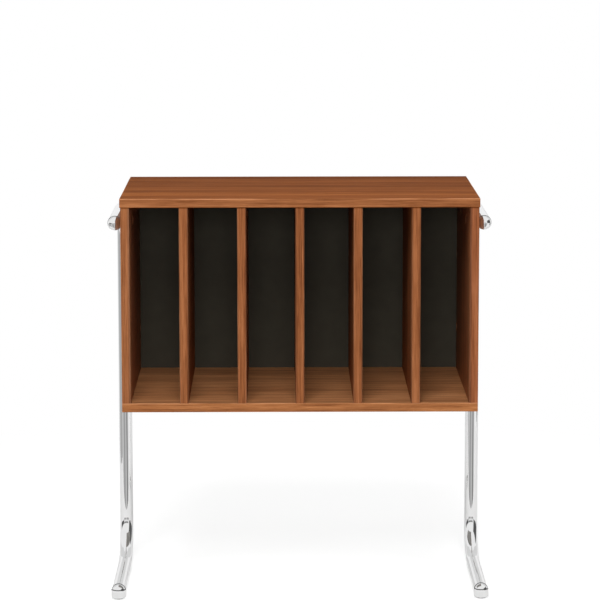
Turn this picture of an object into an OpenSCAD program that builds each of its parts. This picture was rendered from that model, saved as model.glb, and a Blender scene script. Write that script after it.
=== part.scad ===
// Record storage stand: a wooden case of six upright record cubbies, open at the front, carried
// between two bent chrome tube frames. Each frame is one tube: a top arm along the side panel,
// an upright near the back and a floor arm below the case.
// Millimetres. +Z is up, the front faces -Y, and the origin lies on the floor below the middle.

/* [Case] */
// Width of the top panel
top_w = 650; // [600:1:720]
// Depth of the case, front to back
case_d = 385; // [350:1:430]
// Height of the top surface above the floor
stand_h = 757; // [700:1:840]
// Clear height of a cubby
cubby_h = 358; // [325:1:380]
// Thickness of every board
board_t = 16; // [15:0.5:19]
// How far the top panel stands past each side panel
top_overhang = 1.5; // [0.5:0.5:4]
// Thickness of the wooden edge bands
band_t = 1; // [0.8:0.1:2]
// Rounding of the bands' outer corners
band_r = 0.6; // [0.3:0.1:0.8]

/* [Back panel] */
// Thickness of the back panel
back_t = 4; // [3:0.5:6]
// Width of the rebate that the back panel lies in
rebate_w = 8; // [6:0.5:10]
// Gap round the back panel in its rebate
back_gap = 0.3; // [0.1:0.1:0.5]
// Distance of the outer back screws from the top and bottom panels
back_screw_inset = 40; // [25:1:80]
// Diameter of a back screw's shank
back_screw_d = 3; // [2.5:0.1:4]
// Diameter of a back screw's head
back_screw_head_d = 6; // [5:0.1:7]
// Length of a back screw
back_screw_len = 16; // [12:1:25]

/* [Joints of the boards] */
// Diameter of a dowel
dowel_d = 8; // [6:0.5:9]
// Length of a dowel
dowel_len = 30; // [25:1:40]
// How far a dowel reaches into the top panel
dowel_in_top = 10; // [8:0.5:12]
// Distance of the outer dowels and case screws from the front and back edges
joint_inset = 50; // [35:1:90]
// Diameter of a case screw's smooth shank
case_screw_d = 7; // [6:0.5:8]
// Diameter of a case screw's core above the shank
case_screw_core_d = 5; // [4:0.5:5.5]
// Diameter of a case screw's countersunk head
case_screw_head_d = 10; // [9:0.5:12]
// Length of a case screw
case_screw_len = 50; // [40:1:60]

/* [Tube frames] */
// Outside diameter of the tube
tube_d = 25.4; // [22:0.1:28]
// Wall of the tube
tube_wall = 2; // [1.2:0.1:2.5]
// Radius of the bends, to the middle of the tube
bend_r = 75; // [55:1:95]
// How far the balls' centres lie behind the front of the case
front_setback = 76; // [50:1:100]
// How far the upright's axis lies in front of the back of the case
upright_inset = 17; // [15:1:45]
// How far the top arm's axis lies below the top surface
arm_drop = 53; // [40:1:90]
// Gap between the floor and the underside of the floor arm
tube_lift = 1.3; // [1.2:0.1:4]

/* [Caps and feet] */
// How far the collars stand out past the tube and the balls
cap_lip = 0.6; // [0.4:0.1:1.6]
// Air between a collar and the side panel
cap_air = 1.2; // [0.4:0.1:2]
// Length of the straight neck behind each ball
neck_len = 2; // [1:0.5:4]
// Length of the collar behind each ball
collar_len = 3; // [2:0.1:5]
// Width of the groove between ball and collar
groove_w = 1.2; // [0.8:0.1:2]
// Depth of that groove
groove_depth = 1; // [0.4:0.1:1.2]
// Length of the plug inside the tube
plug_len = 16; // [10:1:25]
// How far a front foot's drum stands out past the collar
drum_lip = 0.4; // [0.2:0.1:1]
// How far the drum's rim lies above the tube's axis
drum_rise = 3.5; // [2:0.5:5]
// Rounding of the drum's rim
drum_rim_r = 1.2; // [0.8:0.1:1.5]
// Radius of the crease where the ball rises out of the drum
crease_r = 0.6; // [0.3:0.1:0.8]
// How far the sole of a front foot stays above the floor on its pad
pad_proud = 1.5; // [0.4:0.1:2]
// Rounding of a front foot's lower edge
foot_edge_r = 2.2; // [1:0.1:2.8]
// Diameter of a foot's pad
pad_d = 19; // [14:0.5:20]
// How deep the pad is let into the foot
pad_depth = 2; // [1.5:0.1:4]
// Wall left between the pad and the flat back of the drum
pad_wall = 1.5; // [1:0.1:2.5]
// Diameter of a rear glide's head
glide_d = 14; // [10:0.5:16]
// Height of the head's rim above the floor
glide_rim = 3; // [2.4:0.1:4]
// Diameter of a rear glide's stem
glide_stem_d = 6; // [5:0.1:8]
// Distance of a rear glide in front of the lower bend
glide_inset = 14; // [10:1:60]

/* [Frame fixings] */
// Diameter of a frame bolt
bolt_d = 6; // [5:0.5:6.5]
// Diameter of a bolt's head
bolt_head_d = 12; // [10:0.5:13]
// Height of a bolt's head
bolt_head_h = 3.5; // [2.5:0.1:4]
// Width across the flats of the bolts' and case screws' sockets
socket_af = 4; // [3:0.5:4.5]
// Depth of those sockets
socket_depth = 2; // [1:0.1:2.2]
// Diameter of a washer
washer_d = 16; // [14:0.5:20]
// Thickness of a washer
washer_t = 1.2; // [0.8:0.1:2]
// How deep the bolt heads lie below the board's face
head_recess = 0.6; // [0.3:0.1:1.5]
// Diameter of a tube nut's body
nut_d = 9; // [8:0.1:10]
// Diameter of a tube nut's flange
nut_flange_d = 12; // [11:0.1:13]
// Thickness of a tube nut's flange
nut_flange_t = 0.8; // [0.5:0.1:0.9]
// Length of a tube nut inside the tube
nut_len = 12; // [10:0.5:14]
// Length of a saddle along the tube
saddle_len = 26; // [20:1:40]
// Width of a saddle across the tube
saddle_w = 17; // [14:0.5:20]
// How far a saddle's flanks reach up the tube
saddle_reach = 2.2; // [1.5:0.1:3]
// Rounding of a saddle's corners
saddle_corner_r = 4; // [2:0.5:6]
// Distance of the outer frame bolts from the bends and the case's edge
bolt_inset = 42; // [30:1:60]

/* [Hidden] */

cubby_count = 6;         // five dividers stand between the two side panels
joints_per_board = 3;    // dowels and screws along each upright board
fit = 0.1;               // play between a round piece and its hole, on the diameter
end_room = 1;            // spare depth at the end of a blind hole
cut = 1;                 // how far a cutting tool runs past a face
wide_cut = 60;           // a cutting tool that is wider than a foot
hairline = 0.05;         // glue line where two edge bands butt
round_fn = 48;           // sides of small round pieces in the preview
tube_fn = 64;            // sides of the tube and the balls in the preview
hex_fn = 6;              // sides of a hexagon socket

wood_face = "#9a6038";   // teak veneer
wood_edge = "#a5663c";   // edge bands
dowel_wood = "#d8b98a";  // beech
black_board = "#231f17"; // painted hardboard
chrome = "#d8dade";
zinc = "#b9bcc0";
black_steel = "#3b3c3f";
grey_nylon = "#8d8f92";

// Case
side_out = top_w / 2 - top_overhang;
side_in = side_out - board_t;
board_pitch = (2 * side_out - board_t) / cubby_count;
ceiling_z = stand_h - board_t;
floor_z = ceiling_z - cubby_h;
base_z = floor_z - board_t;
front_y = -case_d / 2;
back_y = case_d / 2;
corner_r = min(band_r, band_t);
countersink_h = (case_screw_head_d - case_screw_d) / 2;
back_countersink_h = (back_screw_head_d - back_screw_d) / 2;

function board_x(i) = -side_out + board_t / 2 + i * board_pitch;
function joint_y(j) = front_y + joint_inset + j * (case_d - 2 * joint_inset) / (joints_per_board - 1);
// The outer columns of back screws go into the side panels' rebates
function back_screw_x(i) = i == 0 ? -side_in - rebate_w / 2
    : i == cubby_count ? side_in + rebate_w / 2
    : board_x(i);
function back_screw_z(k) = floor_z + back_screw_inset + k * (cubby_h - 2 * back_screw_inset) / 2;

// Frames: the right one is drawn and the left one mirrors it
tube_r = tube_d / 2;
bore_r = tube_r - tube_wall;
collar_r = tube_r + cap_lip;
stand_off = cap_lip + cap_air;
tube_x = side_out + stand_off + tube_r;
upright_y = back_y - upright_inset;
ball_y = front_y + front_setback;
drum_r = collar_r + drum_lip;
ball_to_tube = neck_len + groove_w + collar_len;
tube_end_y = ball_y + ball_to_tube;
bend_y = upright_y - bend_r;
high_arm_z = stand_h - arm_drop;
low_arm_z = tube_r + tube_lift;
glide_y = bend_y - glide_inset;

// Frame fixings, as distances outwards from the side panel's outer face
bolt_hole_d = bolt_d + 2 * fit;
counterbore_d = washer_d + 4 * fit;
head_face = -board_t + head_recess;
washer_face = head_face + bolt_head_h;
counterbore_floor = washer_face + washer_t;
nut_end = stand_off + nut_len;
bolt_tip = nut_end - end_room;
// Frame bolt places as [y, z, true on the upright], clear of the screws in the side panel
bolt_places = [
    [tube_end_y + bolt_inset, high_arm_z, false],
    [bend_y - bolt_inset / 2, high_arm_z, false],
    [upright_y, high_arm_z - bend_r - bolt_inset / 2, true],
    [upright_y, back_screw_z(0) + bolt_inset, true]
];

// ---- Case boards ----

// The space that the back panel lies in, cut from every board that it meets
module back_recess() {
    half_w = side_in + rebate_w;
    translate([-half_w, back_y - back_t, floor_z - rebate_w])
        cube([2 * half_w, back_t + cut, cubby_h + 2 * rebate_w]);
}

// Blind holes for the dowels, drilled up into the top panel and down into the boards
module dowel_holes() {
    for (i = [0 : cubby_count], j = [0 : joints_per_board - 1])
        translate([board_x(i), joint_y(j), ceiling_z - (dowel_len - dowel_in_top) - end_room])
            cylinder(h = dowel_len + 2 * end_room, d = dowel_d + fit, $fn = round_fn);
}

// A case screw's outline about its own axis, larger by play for the hole that it lies in
module case_screw_outline(play) {
    cylinder(h = countersink_h, d1 = case_screw_head_d + play, d2 = case_screw_d + play, $fn = round_fn);
    cylinder(h = board_t, d = case_screw_d + play, $fn = round_fn);
    cylinder(h = case_screw_len + play * end_room / fit, d = case_screw_core_d + play, $fn = round_fn);
}

module case_screw_holes() {
    for (i = [0 : cubby_count], j = [0 : joints_per_board - 1])
        translate([board_x(i), joint_y(j), base_z])
            case_screw_outline(fit);
}

// A back screw's outline, pointing to the front from the back face
module back_screw_outline(play) {
    rotate([90, 0, 0]) {
        cylinder(h = back_countersink_h, d1 = back_screw_head_d + play, d2 = back_screw_d + play,
            $fn = round_fn);
        cylinder(h = back_screw_len + play * end_room / fit, d = back_screw_d + play, $fn = round_fn);
    }
}

module back_screw_holes() {
    for (i = [0 : cubby_count], k = [0 : 2])
        translate([back_screw_x(i), back_y, back_screw_z(k)])
            back_screw_outline(fit);
}

// A flat board between its edge bands: half its width, and its lower and upper face
module flat_board(half_w, low_z) {
    translate([-half_w + band_t, front_y + band_t, low_z])
        cube([2 * (half_w - band_t), case_d - band_t, board_t]);
}

module top_panel() {
    color(wood_face)
        difference() {
            flat_board(top_w / 2, ceiling_z);
            back_recess();
            dowel_holes();
        }
}

module bottom_panel() {
    color(wood_face)
        difference() {
            flat_board(side_out, base_z);
            back_recess();
            case_screw_holes();
        }
}

// An upright board behind its front band, drilled for dowels, case screws and back screws
module upright_board(i) {
    difference() {
        translate([board_x(i) - board_t / 2, front_y + band_t, floor_z])
            cube([board_t, case_d - band_t, cubby_h]);
        back_recess();
        dowel_holes();
        case_screw_holes();
        back_screw_holes();
    }
}

// The right side panel, with counterbored holes for the four frame bolts
module side_panel_drilled(i, side) {
    difference() {
        upright_board(i);
        for (place = bolt_places)
            translate([side * side_out, place[0], place[1]])
                rotate([0, side * 90, 0]) {
                    translate([0, 0, -board_t - cut])
                        cylinder(h = board_t + 2 * cut, d = bolt_hole_d, $fn = round_fn);
                    translate([0, 0, -board_t - cut])
                        cylinder(h = counterbore_floor + board_t + cut, d = counterbore_d, $fn = round_fn);
                }
    }
}

module left_side_panel() {
    color(wood_face) side_panel_drilled(0, -1);
}

module right_side_panel() {
    color(wood_face) side_panel_drilled(cubby_count, 1);
}

module divider(i) {
    color(wood_face) upright_board(i);
}

module back_panel() {
    half_w = side_in + rebate_w - back_gap;
    color(black_board)
        difference() {
            translate([-half_w, back_y - back_t, floor_z - rebate_w + back_gap])
                cube([2 * half_w, back_t, cubby_h + 2 * (rebate_w - back_gap)]);
            back_screw_holes();
        }
}

// ---- Edge bands ----

// A band's section: x runs from its outer face into the board, y across the board's edge
module band_section(thick, width) {
    translate([corner_r, 0])
        square([thick - corner_r, width]);
    translate([0, corner_r])
        square([thick, width - 2 * corner_r]);
    intersection() {
        square([thick, width]);
        for (y = [corner_r, width - corner_r])
            translate([corner_r, y])
                circle(r = corner_r, $fn = round_fn);
    }
}

// The two end bands and the front band of a flat board, which butt at the front corners
module flat_board_bands(half_w, low_z) {
    intersection() {
        translate([-half_w, front_y, low_z])
            rotate([90, 0, 90])
                linear_extrude(2 * half_w)
                    band_section(band_t, board_t);
        translate([half_w, front_y, low_z - cut])
            rotate([0, 0, 90])
                linear_extrude(board_t + 2 * cut)
                    band_section(band_t, 2 * half_w);
    }
    for (flip = [0, 1])
        mirror([flip, 0, 0])
            translate([-half_w, back_y, low_z])
                rotate([90, 0, 0])
                    linear_extrude(case_d - band_t - hairline)
                        band_section(band_t, board_t);
}

module top_edge_bands() {
    color(wood_edge) flat_board_bands(top_w / 2, ceiling_z);
}

module bottom_edge_bands() {
    color(wood_edge) flat_board_bands(side_out, base_z);
}

module upright_band(i) {
    translate([board_x(i) + board_t / 2, front_y, floor_z])
        rotate([0, 0, 90])
            linear_extrude(cubby_h)
                band_section(band_t, board_t);
}

module left_side_edge_band() {
    color(wood_edge) upright_band(0);
}

module right_side_edge_band() {
    color(wood_edge) upright_band(cubby_count);
}

module divider_edge_bands() {
    color(wood_edge)
        for (i = [1 : cubby_count - 1])
            upright_band(i);
}

// ---- Dowels and screws of the case ----

module top_dowels() {
    dowel_chamfer = 0.8;
    color(dowel_wood)
        for (i = [0 : cubby_count], j = [0 : joints_per_board - 1])
            translate([board_x(i), joint_y(j), ceiling_z + dowel_in_top - dowel_len]) {
                cylinder(h = dowel_chamfer, d1 = dowel_d - 2 * dowel_chamfer, d2 = dowel_d, $fn = round_fn);
                translate([0, 0, dowel_chamfer])
                    cylinder(h = dowel_len - 2 * dowel_chamfer, d = dowel_d, $fn = round_fn);
                translate([0, 0, dowel_len - dowel_chamfer])
                    cylinder(h = dowel_chamfer, d1 = dowel_d, d2 = dowel_d - 2 * dowel_chamfer,
                        $fn = round_fn);
            }
}

// A hexagon socket, cut up into a head that faces down
module hex_socket() {
    translate([0, 0, -cut])
        cylinder(h = socket_depth + cut, d = socket_af / cos(180 / hex_fn), $fn = hex_fn);
}

module case_screws() {
    color(zinc)
        for (i = [0 : cubby_count], j = [0 : joints_per_board - 1])
            translate([board_x(i), joint_y(j), base_z])
                difference() {
                    case_screw_outline(0);
                    hex_socket();
                }
}

module back_screws() {
    slot_w = 0.9;
    slot_depth = 1.2;
    color(black_steel)
        for (i = [0 : cubby_count], k = [0 : 2])
            translate([back_screw_x(i), back_y, back_screw_z(k)])
                difference() {
                    back_screw_outline(0);
                    for (turn = [0, 90])
                        rotate([0, turn, 0])
                            translate([-back_screw_d / 2, -slot_depth, -slot_w / 2])
                                cube([back_screw_d, slot_depth + cut, slot_w]);
                }
}

// ---- Tube frames ----

// A round bar along the frame's route, at x = 0: top arm, bend, upright, bend and floor arm
module frame_route(r, run_past) {
    for (z = [low_arm_z, high_arm_z])
        translate([0, bend_y, z])
            rotate([90, 0, 0])
                cylinder(h = bend_y - tube_end_y + run_past, r = r, $fn = tube_fn);
    translate([0, upright_y, low_arm_z + bend_r])
        cylinder(h = high_arm_z - low_arm_z - 2 * bend_r, r = r, $fn = tube_fn);
    translate([0, bend_y, high_arm_z - bend_r])
        rotate([90, 0, 90])
            rotate_extrude(angle = 90, $fn = tube_fn)
                translate([bend_r, 0])
                    circle(r = r, $fn = tube_fn);
    translate([0, bend_y, low_arm_z + bend_r])
        rotate([90, 0, 90])
            rotate([0, 0, -90])
                rotate_extrude(angle = 90, $fn = tube_fn)
                    translate([bend_r, 0])
                        circle(r = r, $fn = tube_fn);
}

module frame_tube() {
    color(chrome)
        difference() {
            translate([tube_x, 0, 0])
                frame_route(tube_r, 0);
            translate([tube_x, 0, 0])
                frame_route(bore_r, cut);
            for (place = bolt_places)
                translate([side_out, place[0], place[1]])
                    rotate([0, 90, 0])
                        cylinder(h = stand_off + tube_r, d = nut_d + fit, $fn = round_fn);
            translate([tube_x, glide_y, 0])
                cylinder(h = low_arm_z, d = glide_stem_d + fit, $fn = round_fn);
        }
}

// A ball with its neck, groove, collar and plug, turned about the tube's axis. The ball's centre
// is at the origin and the plug points to +Y.
module ball_cap() {
    plug_chamfer = 1;
    plug_r = bore_r - fit / 2;
    collar_start = neck_len + groove_w;
    plug_end = ball_to_tube + plug_len;
    rotate([-90, 0, 0])
        rotate_extrude($fn = tube_fn) {
            intersection() {
                circle(r = tube_r, $fn = tube_fn);
                translate([0, -tube_r])
                    square([tube_r, tube_r]);
            }
            square([tube_r, neck_len]);
            square([tube_r - groove_depth, collar_start]);
            translate([0, collar_start])
                square([collar_r, collar_len]);
            square([plug_r, plug_end - plug_chamfer]);
            translate([0, plug_end - plug_chamfer])
                polygon([[0, 0], [plug_r, 0], [plug_r - plug_chamfer, plug_chamfer], [0, plug_chamfer]]);
        }
}

module top_cap() {
    color(chrome)
        translate([tube_x, ball_y, high_arm_z])
            ball_cap();
}

// Keeps what lies in front of a plane that stands back behind the ball's centre
module in_front_of(back) {
    intersection() {
        children();
        translate([-wide_cut / 2, back - wide_cut, -cut])
            cube([wide_cut, wide_cut, wide_cut]);
    }
}

// The drum of a front foot, about its upright axis: rounded below and at its rim
module drum_section() {
    rim_z = low_arm_z + drum_rise;
    translate([0, pad_proud])
        square([drum_r - foot_edge_r, rim_z - pad_proud]);
    translate([0, pad_proud + foot_edge_r])
        square([drum_r, rim_z - drum_rim_r - pad_proud - foot_edge_r]);
    translate([0, pad_proud + foot_edge_r])
        square([drum_r - drum_rim_r, rim_z - pad_proud - foot_edge_r]);
    translate([drum_r - foot_edge_r, pad_proud + foot_edge_r])
        circle(r = foot_edge_r, $fn = round_fn);
    translate([drum_r - drum_rim_r, rim_z - drum_rim_r])
        circle(r = drum_rim_r, $fn = round_fn);
}

// The front foot: the same ball, set into an upright drum that stands on a nylon pad. The drum
// ends flat where the tube begins.
module foot_cap() {
    color(chrome)
        translate([tube_x, ball_y, 0])
            difference() {
                union() {
                    translate([0, 0, low_arm_z])
                        ball_cap();
                    in_front_of(ball_to_tube)
                        rotate_extrude($fn = tube_fn)
                            drum_section();
                }
                in_front_of(neck_len)
                    translate([0, 0, low_arm_z + drum_rise])
                        rotate_extrude($fn = tube_fn)
                            translate([sqrt(tube_r * tube_r - drum_rise * drum_rise), 0])
                                circle(r = crease_r, $fn = round_fn);
                translate([-wide_cut / 2, -wide_cut / 2, -cut])
                    cube([wide_cut, wide_cut, pad_proud + cut]);
                in_front_of(ball_to_tube - pad_wall)
                    translate([0, 0, -cut])
                        cylinder(h = pad_proud + pad_depth + cut, d = pad_d + fit, $fn = round_fn);
            }
}

module foot_pad() {
    pad_chamfer = 0.3;
    color(grey_nylon)
        translate([tube_x, ball_y, 0])
            in_front_of(ball_to_tube - pad_wall - fit / 2) {
                cylinder(h = pad_chamfer, d1 = pad_d - 2 * pad_chamfer, d2 = pad_d, $fn = round_fn);
                translate([0, 0, pad_chamfer])
                    cylinder(h = pad_proud + pad_depth - pad_chamfer, d = pad_d, $fn = round_fn);
            }
}

// A push-in glide under the floor arm, its head hollowed to fit the tube
module rear_glide() {
    grip = 4;
    stem_top = low_arm_z - bore_r + grip;
    barb_h = 1.2;
    barb_d = glide_stem_d + 4 * fit;
    barb_tip_d = glide_stem_d - 1;
    color(grey_nylon)
        translate([tube_x, glide_y, 0]) {
            difference() {
                cylinder(h = glide_rim, d = glide_d, $fn = round_fn);
                translate([0, glide_d, low_arm_z])
                    rotate([90, 0, 0])
                        cylinder(h = 2 * glide_d, r = tube_r, $fn = tube_fn);
            }
            cylinder(h = stem_top, d = glide_stem_d, $fn = round_fn);
            translate([0, 0, stem_top - barb_h])
                cylinder(h = barb_h, d1 = barb_d, d2 = barb_tip_d, $fn = round_fn);
        }
}

// ---- Frame fixings ----

// Puts its children at each frame bolt, with z pointing outwards from the side panel's outer
// face and the tube running along y
module at_frame_bolts() {
    for (place = bolt_places)
        translate([side_out, place[0], place[1]])
            rotate([place[2] ? 90 : 0, 0, 0])
                rotate([0, 90, 0])
                    children();
}

// A round bar where the tube passes over a frame bolt
module tube_over_bolt(r) {
    translate([0, saddle_len, stand_off + tube_r])
        rotate([90, 0, 0])
            cylinder(h = 2 * saddle_len, r = r, $fn = tube_fn);
}

// A flat outline with rounded corners
module rounded_outline(width, len, r) {
    square([width - 2 * r, len], center = true);
    square([width, len - 2 * r], center = true);
    for (x = [-1, 1], y = [-1, 1])
        translate([x * (width / 2 - r), y * (len / 2 - r)])
            circle(r = r, $fn = round_fn);
}

// Nylon saddles between the side panel and the tube
module saddles() {
    color(grey_nylon)
        at_frame_bolts()
            difference() {
                linear_extrude(stand_off + saddle_reach)
                    rounded_outline(saddle_w, saddle_len, saddle_corner_r);
                tube_over_bolt(tube_r);
                translate([0, 0, -cut])
                    cylinder(h = stand_off + 2 * cut, d = bolt_hole_d, $fn = round_fn);
                translate([0, 0, stand_off - nut_flange_t - fit / 2])
                    cylinder(h = saddle_reach + nut_flange_t + cut, d = nut_flange_d + 2 * fit,
                        $fn = round_fn);
            }
}

module frame_bolts() {
    color(zinc)
        at_frame_bolts()
            difference() {
                union() {
                    translate([0, 0, head_face])
                        cylinder(h = bolt_head_h, d = bolt_head_d, $fn = round_fn);
                    translate([0, 0, head_face])
                        cylinder(h = bolt_tip - head_face, d = bolt_d, $fn = round_fn);
                }
                translate([0, 0, head_face])
                    hex_socket();
            }
}

module washers() {
    color(zinc)
        at_frame_bolts()
            translate([0, 0, washer_face])
                difference() {
                    cylinder(h = washer_t, d = washer_d, $fn = round_fn);
                    translate([0, 0, -cut])
                        cylinder(h = washer_t + 2 * cut, d = bolt_hole_d, $fn = round_fn);
                }
}

// Rivet nuts: the flange lies on the tube, and the bulge inside holds it in the wall
module tube_nuts() {
    bulge_h = 3;
    color(black_steel)
        at_frame_bolts()
            difference() {
                union() {
                    difference() {
                        translate([0, 0, stand_off - nut_flange_t])
                            cylinder(h = nut_flange_t + tube_wall, d = nut_flange_d, $fn = round_fn);
                        tube_over_bolt(tube_r);
                    }
                    translate([0, 0, stand_off - nut_flange_t])
                        cylinder(h = nut_len + nut_flange_t, d = nut_d, $fn = round_fn);
                    intersection() {
                        translate([0, 0, stand_off + tube_wall])
                            cylinder(h = bulge_h, d = nut_flange_d, $fn = round_fn);
                        tube_over_bolt(bore_r);
                    }
                }
                translate([0, 0, stand_off - nut_flange_t - cut])
                    cylinder(h = nut_len + nut_flange_t + 2 * cut, d = bolt_d + fit, $fn = round_fn);
            }
}

module left() {
    mirror([1, 0, 0]) children();
}

top_panel();
bottom_panel();
left_side_panel();
right_side_panel();
divider(1);  // divider_1
divider(2);  // divider_2
divider(3);  // divider_3
divider(4);  // divider_4
divider(5);  // divider_5
back_panel();
top_edge_bands();
bottom_edge_bands();
left_side_edge_band();
right_side_edge_band();
divider_edge_bands();
top_dowels();
case_screws();
back_screws();
left() frame_tube();  // left_frame_tube
frame_tube();  // right_frame_tube
left() top_cap();  // left_top_cap
top_cap();  // right_top_cap
left() foot_cap();  // left_foot_cap
foot_cap();  // right_foot_cap
left() foot_pad();  // left_foot_pad
foot_pad();  // right_foot_pad
left() rear_glide();  // left_rear_glide
rear_glide();  // right_rear_glide
left() saddles();  // left_saddles
saddles();  // right_saddles
left() frame_bolts();  // left_frame_bolts
frame_bolts();  // right_frame_bolts
left() washers();  // left_washers
washers();  // right_washers
left() tube_nuts();  // left_tube_nuts
tube_nuts();  // right_tube_nuts
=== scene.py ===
"""Looks of the record storage stand: finishes of its boards, chrome frames and fittings, and a
plain studio. Metres, +Z up, the open front faces -Y."""

import math

import bmesh
import bpy
from mathutils import Matrix, Vector

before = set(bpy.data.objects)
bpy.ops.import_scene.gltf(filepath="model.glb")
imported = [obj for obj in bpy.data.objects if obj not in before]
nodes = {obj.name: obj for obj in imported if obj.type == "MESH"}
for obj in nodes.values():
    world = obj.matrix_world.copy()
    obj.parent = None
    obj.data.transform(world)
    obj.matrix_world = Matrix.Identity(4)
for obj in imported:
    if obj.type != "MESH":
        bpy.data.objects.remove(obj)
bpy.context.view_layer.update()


# ---- Veneered boards --------------------------------------------------------------------------
# Top, bottom, sides and dividers: 16 mm board with teak veneer on both faces, stained reddish
# brown and satin lacquered. The veneer's grain runs along each board. Under the bottom panel the
# board is painted plain grey: painted shade, and a grey sheet there is a guess. Each board's tint
# is partly its own tone and partly painted light and shade.


class Link:
    """A shader socket. Arithmetic on it adds Math nodes, and node() adds any other node."""

    def __init__(self, tree, socket=None):
        self.tree = tree
        self.socket = socket

    def node(self, kind, inputs, output=0, stops=None, **settings):
        made = self.tree.nodes.new("ShaderNode" + kind)
        for name, value in settings.items():
            setattr(made, name, value)
        if stops:
            ramp = made.color_ramp
            while len(ramp.elements) < len(stops):
                ramp.elements.new(0.5)
            for element, (place, colour) in zip(ramp.elements, stops):
                element.position = place
                element.color = colour
        for name, value in inputs.items():
            if isinstance(value, Link):
                self.tree.links.new(value.socket, made.inputs[name])
            else:
                made.inputs[name].default_value = value
        return Link(self.tree, made.outputs[output])

    def math(self, operation, a, b=0.0):
        return self.node("Math", {0: a, 1: b}, operation=operation)

    def __add__(self, other):
        return self.math("ADD", self, other)

    __radd__ = __add__

    def __sub__(self, other):
        return self.math("SUBTRACT", self, other)

    def __rsub__(self, other):
        return self.math("SUBTRACT", other, self)

    def __mul__(self, other):
        return self.math("MULTIPLY", self, other)

    __rmul__ = __mul__

    def __truediv__(self, other):
        return self.math("DIVIDE", self, other)

    def __gt__(self, other):
        return self.math("GREATER_THAN", self, other)

    def __lt__(self, other):
        return self.math("LESS_THAN", self, other)

    def smooth(self, low, high, to_low=0.0, to_high=1.0):
        """A soft step of this value from low to high."""
        sockets = {
            "Value": self,
            "From Min": low,
            "From Max": high,
            "To Min": to_low,
            "To Max": to_high,
        }
        return self.node("MapRange", sockets, interpolation_type="SMOOTHSTEP")

    def blend(self, a, b):
        """Colour a where this value is 0 and b where it is 1."""
        return self.node("Mix", {0: self, 6: a, 7: b}, output=2, data_type="RGBA")

    def stain(self, amount, colour):
        """This colour multiplied by another as far as amount goes from 0 to 1."""
        sockets = {0: amount, 6: self, 7: colour}
        return self.node("Mix", sockets, output=2, data_type="RGBA", blend_type="MULTIPLY")

    def noise(self, scale, detail=2.0, roughness=0.5, distortion=0.0):
        """Noise at this vector."""
        sockets = {
            "Vector": self,
            "Scale": scale,
            "Detail": detail,
            "Roughness": roughness,
            "Distortion": distortion,
        }
        return self.node("TexNoise", sockets)

    def stretched(self, factors, shift=(0.0, 0.0, 0.0)):
        """This vector moved by shift and scaled along each axis."""
        moved = self.node("VectorMath", {0: self, 1: shift}, operation="ADD")
        return moved.node("VectorMath", {0: moved, 1: factors}, operation="MULTIPLY")

    def axes(self):
        """This vector's three parts."""
        return [self.node("SeparateXYZ", {"Vector": self}, output=axis) for axis in range(3)]


def new_finish(name, **sockets):
    """A material with these values on its shader's own sockets, and the Object coordinates."""
    material = bpy.data.materials.new(name)
    material.use_nodes = True
    shader = material.node_tree.nodes["Principled BSDF"]
    for socket, value in sockets.items():
        shader.inputs[socket.replace("_", " ")].default_value = value
    place = Link(material.node_tree).node("TexCoord", {}, output=3)
    return material, place


def connect(material, **sockets):
    """Links these values to the material's shader."""
    tree = material.node_tree
    for socket, link in sockets.items():
        tree.links.new(link.socket, tree.nodes["Principled BSDF"].inputs[socket.replace("_", " ")])


def dress(names, material):
    for name in names:
        mesh = nodes[name].data
        mesh.materials.clear()
        mesh.materials.append(material)


TEAK_DARK = (0.170, 0.053, 0.019, 1)
TEAK_MID = (0.276, 0.095, 0.035, 1)
TEAK_LIGHT = (0.385, 0.145, 0.058, 1)
TEAK_PORE = (0.105, 0.032, 0.011, 1)
# A painted highlight for the bands' upper corners.
TEAK_ARRIS_HIGHLIGHT = (0.560, 0.255, 0.120, 1)
# Plain greys painted under the bottom panel, as painted shade.
GREY_SHEET_AND_SHADE_DARK = (0.290, 0.278, 0.258, 1)
GREY_SHEET_AND_SHADE_LIGHT = (0.375, 0.366, 0.345, 1)

# Colours that the wood is multiplied by: a darker tone where the end bands lie, painted shade with
# the joint's own dark line along the joint under the top and the top band's lower edge, and
# painted shade at the edges of the uprights' bands.
END_SHADE = (0.74, 0.72, 0.70, 1)
JOINT_LINE_AND_SHADOW = (0.55, 0.43, 0.30, 1)
EDGE_PAINTED_SHADE = (0.70, 0.80, 0.98, 1)

# Spans over which one look turns into another: of the grain's tone, and of places in metres.
DARK_TO_MID = (0.42, 0.50)
MID_TO_LIGHT = (0.50, 0.58)
BACK_TO_FRONT = (0.02, -0.14)
BAND_EDGE = (0.0052, 0.0078)
UNDER_TOP = (0.7386, 0.7402)
TOP_LOWER_EDGE = (0.7430, 0.7414)
# How far below the arris the painted highlight begins and ends.
ARRIS_HIGHLIGHT_DEPTHS = (0.0016, 0.0004)

# Heights, and distances from the middle, of the boards and bands in metres. The uprights' bands are
# given by the first one's distance from the middle and by their pitch. At the sides there is only
# one to each side, so the pitch there is wider than the stand. Their painted shade is centred 1.5
# mm outside the bands' own middle, which makes the inner edge the darker one.
UNDERSIDE = 0.3672
TOP_ARRIS = 0.757
BOTTOM_ARRIS = 0.383
BAND_BACK = -0.1915
TOP_END_BAND = 0.324
BOTTOM_END_BAND = 0.3225
DIVIDERS = (0.0, 0.10515)
SIDES = (0.317, 1.0)

# How the pattern is scaled across and along the grain.
ALONG = {"x": (1.0, 40.0, 40.0), "y": (40.0, 1.0, 40.0), "z": (40.0, 40.0, 1.0)}

# The tint that leaves the wood as it is.
PLAIN = (1.0, 1.0, 1.0)


def across_bands(east, first, pitch):
    """How far a point is, to the left or right, from the nearest place in a row of uprights."""
    beside = east.math("ABSOLUTE", east) - first
    return beside.math("PINGPONG", beside, pitch / 2)


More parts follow.
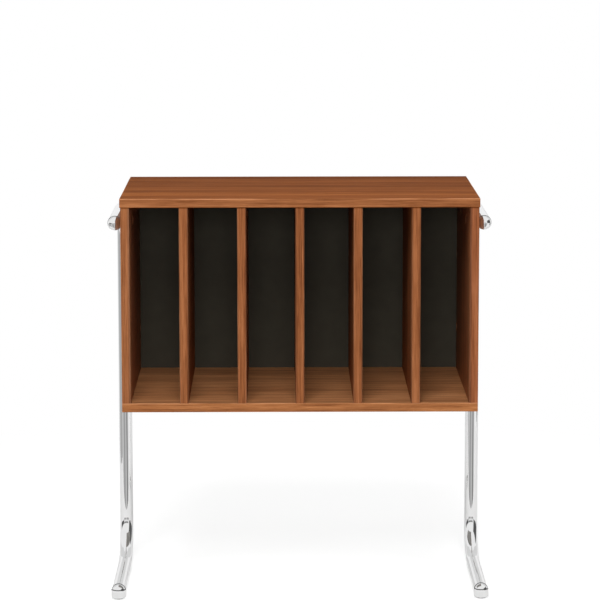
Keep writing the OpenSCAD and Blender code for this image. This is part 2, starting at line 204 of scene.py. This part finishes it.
def teak(name, grain, shift, tint=PLAIN, gloss=0.015, bold=0.0, front=None, grey_sheet_and_shade=None,
         arris=None, end_band=None, joint_shadow_span=None, uprights=None):
    """Lacquered teak with its grain along one axis. shift takes each board from its own log, and
    tint is its tone, partly its own and partly painted light and shade for that board. bold adds
    broad dark and light stripes. front is a further tint towards the front: painted light, lighter
    where light falls on the board. backing is the height below which a plain grey covers the board:
    painted shade, and a grey sheet there is a guess.

    On the bands, arris is the height of an upper corner with a painted highlight, end_band is how
    far from the middle the bands on the board's ends begin, whose grain runs from front to back,
    seam is the span of painted shade with a dark joint line, and uprights says where the bands with
    painted shade at their edges stand."""
    material, place = new_finish(name, Specular_IOR_Level=gloss)
    east, north, height = place.axes()
    along = place.stretched(ALONG[grain], shift)
    if end_band:
        on_end = (east.math("ABSOLUTE", east) > end_band) * (north > BAND_BACK)
        turned = place.stretched(ALONG["y"], shift)
        sockets = {0: on_end, 4: along, 5: turned}
        along = on_end.node("Mix", sockets, output=1, data_type="VECTOR")
    clouds = along.noise(1.3, detail=2.0)
    rings = along.noise(5.0, detail=3.0, distortion=0.2)
    streaks = along.noise(13.0, detail=2.0)
    fibres = along.noise(34.0, detail=3.0, roughness=0.7)
    pores = along.noise(80.0, detail=1.0).smooth(0.63, 0.74)
    tone = 0.22 * clouds + 0.25 * rings + 0.31 * streaks + 0.22 * fibres
    if bold:
        tone = tone + bold * (along.noise(0.5, detail=1.0) - 0.5)
    wood = tone.smooth(*DARK_TO_MID).blend(TEAK_DARK, TEAK_MID)
    wood = tone.smooth(*MID_TO_LIGHT).blend(wood, TEAK_LIGHT)
    wood = (0.40 * streaks.smooth(0.58, 0.70) + 0.4 * pores).blend(wood, TEAK_PORE)
    wood = wood.stain(1.0, (*tint, 1))
    if end_band:
        wood = wood.stain(on_end, END_SHADE)
    # Painted light: the board is tinted lighter towards the front, where the light falls on it.
    if front:
        wood = wood.stain(north.smooth(*BACK_TO_FRONT), (*front, 1))
    # Painted shade, with the joint's own dark line, under the top and along the top band's lower
    # edge.
    if joint_shadow_span:
        wood = wood.stain(height.smooth(*joint_shadow_span), JOINT_LINE_AND_SHADOW)
    # Painted shade at the edges of the uprights' bands.
    if uprights:
        wood = wood.stain(across_bands(east, *uprights).smooth(*BAND_EDGE), EDGE_PAINTED_SHADE)
    # Painted shade: below this height the board is plain grey, which the chrome mirrors.
    if grey_sheet_and_shade:
        mottle = (0.5 * rings + 0.5 * fibres).smooth(0.38, 0.62)
        wood = (height < grey_sheet_and_shade).blend(wood, mottle.blend(GREY_SHEET_AND_SHADE_DARK, GREY_SHEET_AND_SHADE_LIGHT))
    # A painted highlight along the band's upper corner.
    if arris:
        low, high = (arris - below for below in ARRIS_HIGHLIGHT_DEPTHS)
        arris_highlight = height.smooth(low, high) * rings.smooth(0.44, 0.56, 0.05, 1.1)
        wood = arris_highlight.blend(wood, TEAK_ARRIS_HIGHLIGHT)
    relief = fibres - 0.8 * pores
    bump = relief.node("Bump", {"Height": relief, "Strength": 0.12, "Distance": 0.0004})
    connect(material, Base_Color=wood, Roughness=0.50 + 0.14 * fibres + 0.1 * pores, Normal=bump)
    return material


# The tints are partly tone and partly painted light and shade: the top is darkened, and painted
# lighter towards the front, and the bottom panel is lightened.
top = teak(
    "teak_top", "x", (0.0, 0.0, 0.0), (0.76, 0.67, 0.50),
    gloss=0.004, bold=0.18, front=(1.24, 1.25, 1.20),
)
bottom = teak(
    "teak_bottom", "x", (3.1, 0.7, 0.2), (1.58, 1.98, 2.15), gloss=0.3, grey_sheet_and_shade=UNDERSIDE
)
dress(["top_panel"], top)
dress(["bottom_panel"], bottom)
dress(["left_side_panel"], teak("teak_left_side", "z", (1.3, 0.0, 0.9), gloss=0.4))
dress(["right_side_panel"], teak("teak_right_side", "z", (2.6, 0.0, 1.7), gloss=0.4))
for number in range(1, 6):
    log = (0.31 * number, 0.0, 0.57 * number)
    dress([f"divider_{number}"], teak(f"teak_divider_{number}", "z", log))


# ---- Edge bands -------------------------------------------------------------------------------
# Strips of 1 mm teak glued over the boards' raw edges, with the outer corners broken by hand and
# lacquered with the boards. Their upper corners carry a painted highlight, and painted shade lies
# along the joint under the top and at the edges of the uprights' bands.

top_band = teak(
    "band_top", "x", (5.0, 0.3, 0.0), (0.95, 1.00, 0.99),
    arris=TOP_ARRIS, end_band=TOP_END_BAND, joint_shadow_span=TOP_LOWER_EDGE,
)
# The bottom band's tint lightens it, partly as painted light.
bottom_band = teak(
    "band_bottom", "x", (7.0, 0.2, 0.0), (1.18, 1.30, 1.26),
    arris=BOTTOM_ARRIS, end_band=BOTTOM_END_BAND,
)
dress(["top_edge_bands"], top_band)
dress(["bottom_edge_bands"], bottom_band)
UPRIGHT_BANDS = (
    ("left_side_edge_band", "band_left_side", (0.4, 0.2, 2.1), (0.93, 0.97, 1.00), SIDES),
    ("right_side_edge_band", "band_right_side", (0.9, 0.2, 3.3), (0.90, 0.86, 0.92), SIDES),
    ("divider_edge_bands", "band_dividers", (1.7, 0.2, 4.2), (0.89, 0.89, 0.88), DIVIDERS),
)
for node, name, log, tint, uprights in UPRIGHT_BANDS:
    dress([node], teak(name, "z", log, tint, joint_shadow_span=UNDER_TOP, uprights=uprights))


# ---- Back panel -------------------------------------------------------------------------------
# 4 mm hardboard in a rebate, painted matt black, with a fine texture like a press screen's weave.

board, place = new_finish("black_hardboard", Specular_IOR_Level=0.25)
mottle = place.noise(38.0, detail=3.0)
black = mottle.blend((0.043, 0.039, 0.029, 1), (0.065, 0.059, 0.045, 1))
weave_height = place.noise(900.0, detail=1.0)
weave_bump = place.node("Bump", {"Height": weave_height, "Strength": 0.15, "Distance": 0.0003})
connect(board, Base_Color=black, Roughness=0.55 + 0.2 * mottle, Normal=weave_bump)
dress(["back_panel"], board)


# ---- Dowels and screws of the case ------------------------------------------------------------
# Beech dowels glued into the top, zinc-plated case screws driven up through the bottom panel, and
# small black screws that hold the back.

beech, place = new_finish("raw_beech", Specular_IOR_Level=0.2)
flecks = place.stretched((60.0, 60.0, 6.0)).noise(9.0, detail=3.0)
connect(
    beech,
    Base_Color=flecks.blend((0.50, 0.31, 0.16, 1), (0.72, 0.52, 0.31, 1)),
    Roughness=0.6 + 0.2 * flecks,
)
dress(["top_dowels"], beech)

zinc, place = new_finish("zinc_plate", Metallic=1.0)
spangle = place.noise(420.0, detail=2.0)
connect(
    zinc,
    Base_Color=spangle.blend((0.42, 0.43, 0.45, 1), (0.62, 0.63, 0.65, 1)),
    Roughness=0.28 + 0.2 * spangle,
)
dress(["case_screws"], zinc)

blackened, place = new_finish("blackened_steel", Metallic=1.0)
oil = place.noise(260.0, detail=2.0)
connect(
    blackened,
    Base_Color=oil.blend((0.030, 0.030, 0.033, 1), (0.065, 0.065, 0.070, 1)),
    Roughness=0.32 + 0.2 * oil,
)
dress(["back_screws"], blackened)


# ---- Chrome frames ----------------------------------------------------------------------------
# Two bent steel tubes with their ball caps and drum feet, polished and chrome plated. The plate
# is a mirror with faint waves from the polishing wheel. In the caps' grooves and the creases round
# the feet's balls it is painted dark and made rough: painted shade.

GROOVE_FRONT, GROOVE_BACK = -0.1148, -0.1130
CREASE_BOTTOM, CREASE_TOP = 0.0169, 0.0182
TUBE_END = -0.1103
chrome, place = new_finish("chrome_plate", Metallic=1.0)
haze = place.noise(55.0, detail=3.0)
waves = place.noise(30.0, detail=1.0)
wave_bump = place.node("Bump", {"Height": waves, "Strength": 0.06, "Distance": 0.001})
_, north, height = place.axes()
# The caps' grooves and the creases round the feet's balls are painted dark and made rough: painted
# shade.
groove = (north > GROOVE_FRONT) * (north < GROOVE_BACK)
crease = (height > CREASE_BOTTOM) * (height < CREASE_TOP) * (north < TUBE_END)
groove_and_crease_shade = groove.math("MAXIMUM", groove, crease)
plate = haze.blend((0.84, 0.84, 0.84, 1), (0.90, 0.90, 0.90, 1))
connect(
    chrome,
    Base_Color=groove_and_crease_shade.blend(plate, (0.10, 0.10, 0.10, 1)),
    Roughness=0.02 + 0.03 * haze + 0.35 * groove_and_crease_shade,
    Normal=wave_bump,
)
for side in ("left", "right"):
    dress([f"{side}_frame_tube", f"{side}_top_cap", f"{side}_foot_cap"], chrome)


# ---- Nylon pads, glides and saddles -----------------------------------------------------------
# Moulded grey nylon: pads under the front feet, glides pushed into the floor arms and saddles
# that keep the tubes off the wood.

nylon, place = new_finish("grey_nylon", Specular_IOR_Level=0.4)
grain = place.noise(1400.0, detail=2.0)
nylon_bump = place.node("Bump", {"Height": grain, "Strength": 0.2, "Distance": 0.0002})
connect(
    nylon,
    Base_Color=place.noise(60.0).blend((0.24, 0.245, 0.25, 1), (0.31, 0.315, 0.32, 1)),
    Roughness=0.48 + 0.15 * grain,
    Normal=nylon_bump,
)
for side in ("left", "right"):
    dress([f"{side}_foot_pad", f"{side}_rear_glide", f"{side}_saddles"], nylon)


# ---- Frame bolts, washers and rivet nuts ------------------------------------------------------
# Zinc-plated hexagon-socket bolts with washers in the outer cubbies, and blackened rivet nuts
# set in the tubes.

for side in ("left", "right"):
    dress([f"{side}_frame_bolts", f"{side}_washers"], zinc)
    dress([f"{side}_tube_nuts"], blackened)


# ---- Studio -----------------------------------------------------------------------------------
# A white floor that fades into a white backdrop, soft lamps in front, above, behind and at both
# sides, and soft fill from all round. In the chrome, the studio's tones and dark cards show.

scene = bpy.context.scene
scene.view_settings.view_transform = "Standard"

FLOOR_HALF = 12.0
FADE_START = 0.75
FADE_END = 1.6
FLOOR_TONE = 0.8
FLOOR_LIFT = 0.43
MIRROR_LIFT = 0.10
PAPER_LEFT, PAPER_RIGHT, PAPER_FRONT = -1.28, 1.75, -0.30
floor_mesh = bpy.data.meshes.new("floor")
shape = bmesh.new()
bmesh.ops.create_grid(shape, x_segments=1, y_segments=1, size=FLOOR_HALF)
shape.to_mesh(floor_mesh)
shape.free()
floor = bpy.data.objects.new("floor", floor_mesh)
scene.collection.objects.link(floor)
floor.location.z = -0.0002

# Near the stand the floor is lit paper that takes its shadow, and further out plain white. In
# mirrors the paper has edges, and past them the studio shows. From below it isn't there.
paper, place = new_finish(
    "white_floor", Roughness=0.9, Specular_IOR_Level=0.0, Emission_Strength=1.0
)
distance = place.node("VectorMath", {0: place}, output=1, operation="LENGTH")
east, north, _ = place.axes()
seen = place.node("LightPath", {}, output="Is Camera Ray")
mirrored = place.node("LightPath", {}, output="Is Glossy Ray")
beneath = place.node("NewGeometry", {}, output="Backfacing")
on_paper = (east > PAPER_LEFT) * (east < PAPER_RIGHT) * (north > PAPER_FRONT)
fade = distance.smooth(FADE_START, FADE_END) * seen
connect(
    paper,
    Base_Color=FLOOR_TONE * (1 - fade),
    Emission_Color=fade * (1 - FLOOR_LIFT) + FLOOR_LIFT * seen + MIRROR_LIFT * mirrored,
    Alpha=(1 - mirrored * (1 - on_paper)) * (1 - beneath),
)
floor_mesh.materials.append(paper)

# The studio round the stand, as mirrors see it. Azimuths are in degrees from the camera's side, +
# to the right. The room's tones show past the paper's edges, below the horizon. Above it the studio
# is white, with dark cards between these azimuths and heights of the direction.
ROOM = (
    (-180, 0.88), (-132, 0.88), (-112, 0.50), (-87, 0.42), (-66, 0.46), (-47, 0.68), (-28, 0.30),
    (-12, 0.44), (5, 0.60), (23, 0.14), (42, 0.72), (60, 1.0), (85, 0.88), (105, 0.20),
    (125, 0.66), (150, 0.88), (180, 0.88),
)
WHITE = 0.92
FILL = 0.24
HORIZON = (-0.14, -0.02)
SOFT_DEGREES = 1.5
SOFT_HEIGHT = 0.03
CARDS = (
    ((46, 112), (-0.08, 0.54), 0.90),
    ((-42, 30), (0.0, 0.10), 0.75),
    ((-96, -46), (-0.10, 0.10), 0.90),
    ((120, 240), (0.16, 0.80), 0.22),
    ((-240, -120), (0.16, 0.80), 0.22),
)
world = bpy.data.worlds.new("studio")
scene.world = world
world.use_nodes = True
start = Link(world.node_tree)
direction = start.node("TexCoord", {}, output=0)
east, north, up = direction.axes()
azimuth = east.math("ARCTAN2", east, -1.0 * north) * (180 / math.pi)
stops = [((angle + 180) / 360, (tone, tone, tone, 1)) for angle, tone in ROOM]
room = azimuth.node("ValToRGB", {"Fac": azimuth / 360 + 0.5}, stops=stops)
studio = up.smooth(*HORIZON) * (WHITE - room) + room
for (left, right), (low, high), darkness in CARDS:
    past_left, past_right = (
        azimuth.smooth(edge - SOFT_DEGREES, edge + SOFT_DEGREES) for edge in (left, right)
    )
    past_low, past_high = (
        up.smooth(edge - SOFT_HEIGHT, edge + SOFT_HEIGHT) for edge in (low, high)
    )
    card = past_left * (1 - past_right) * past_low * (1 - past_high)
    studio = studio * (1 - darkness * card)
seen = start.node("LightPath", {}, output="Is Camera Ray")
mirrored = start.node("LightPath", {}, output="Is Glossy Ray")
level = seen + mirrored * studio + (1 - seen) * (1 - mirrored) * FILL
background = world.node_tree.nodes["Background"]
world.node_tree.links.new(level.socket, background.inputs["Strength"])
background.inputs["Color"].default_value = (1, 1, 1, 1)


def soft_lamp(name, place, aim, size, power):
    lamp = bpy.data.lights.new(name, "AREA")
    lamp.shape = "SQUARE"
    lamp.size = size
    lamp.energy = power
    holder = bpy.data.objects.new(name, lamp)
    holder.location = place
    holder.rotation_euler = (Vector(aim) - Vector(place)).to_track_quat("-Z", "Y").to_euler()
    holder.visible_glossy = False
    holder.visible_camera = False
    scene.collection.objects.link(holder)


middle = (0.0, 0.0, 0.5)
soft_lamp("key_softbox", (-0.3, -3.3, 3.3), middle, 2.0, 112)
soft_lamp("camera_softbox", (-0.1, -5.0, 1.4), middle, 1.0, 62)
soft_lamp("overhead_softbox", (-0.2, -0.2, 3.4), middle, 2.4, 12)
soft_lamp("rear_softbox", (0.8, 3.4, 2.2), middle, 2.4, 40)
soft_lamp("left_softbox", (-3.3, -0.6, 1.5), middle, 2.0, 30)
soft_lamp("right_softbox", (3.3, -0.6, 1.5), middle, 2.0, 30)

# The camera stands far back with a long lens, a little left of the stand and above its top.
CAMERA_PLACE = (-0.0360, -5.1496, 1.3171)
PITCH = math.radians(8.537)
YAW = math.radians(0.417)
ROLL = math.radians(-0.062)
SENSOR = 36.0
FRAME_PIXELS = 600
FOCAL_PIXELS = 2772.4
lens = bpy.data.cameras.new("camera")
lens.sensor_width = SENSOR
lens.lens = SENSOR * FOCAL_PIXELS / FRAME_PIXELS
camera = bpy.data.objects.new("camera", lens)
turn = Matrix.Rotation(-YAW, 4, "Z") @ Matrix.Rotation(math.pi / 2 - PITCH, 4, "X")
camera.matrix_world = Matrix.Translation(CAMERA_PLACE) @ turn @ Matrix.Rotation(ROLL, 4, "Z")
scene.collection.objects.link(camera)
scene.camera = camera
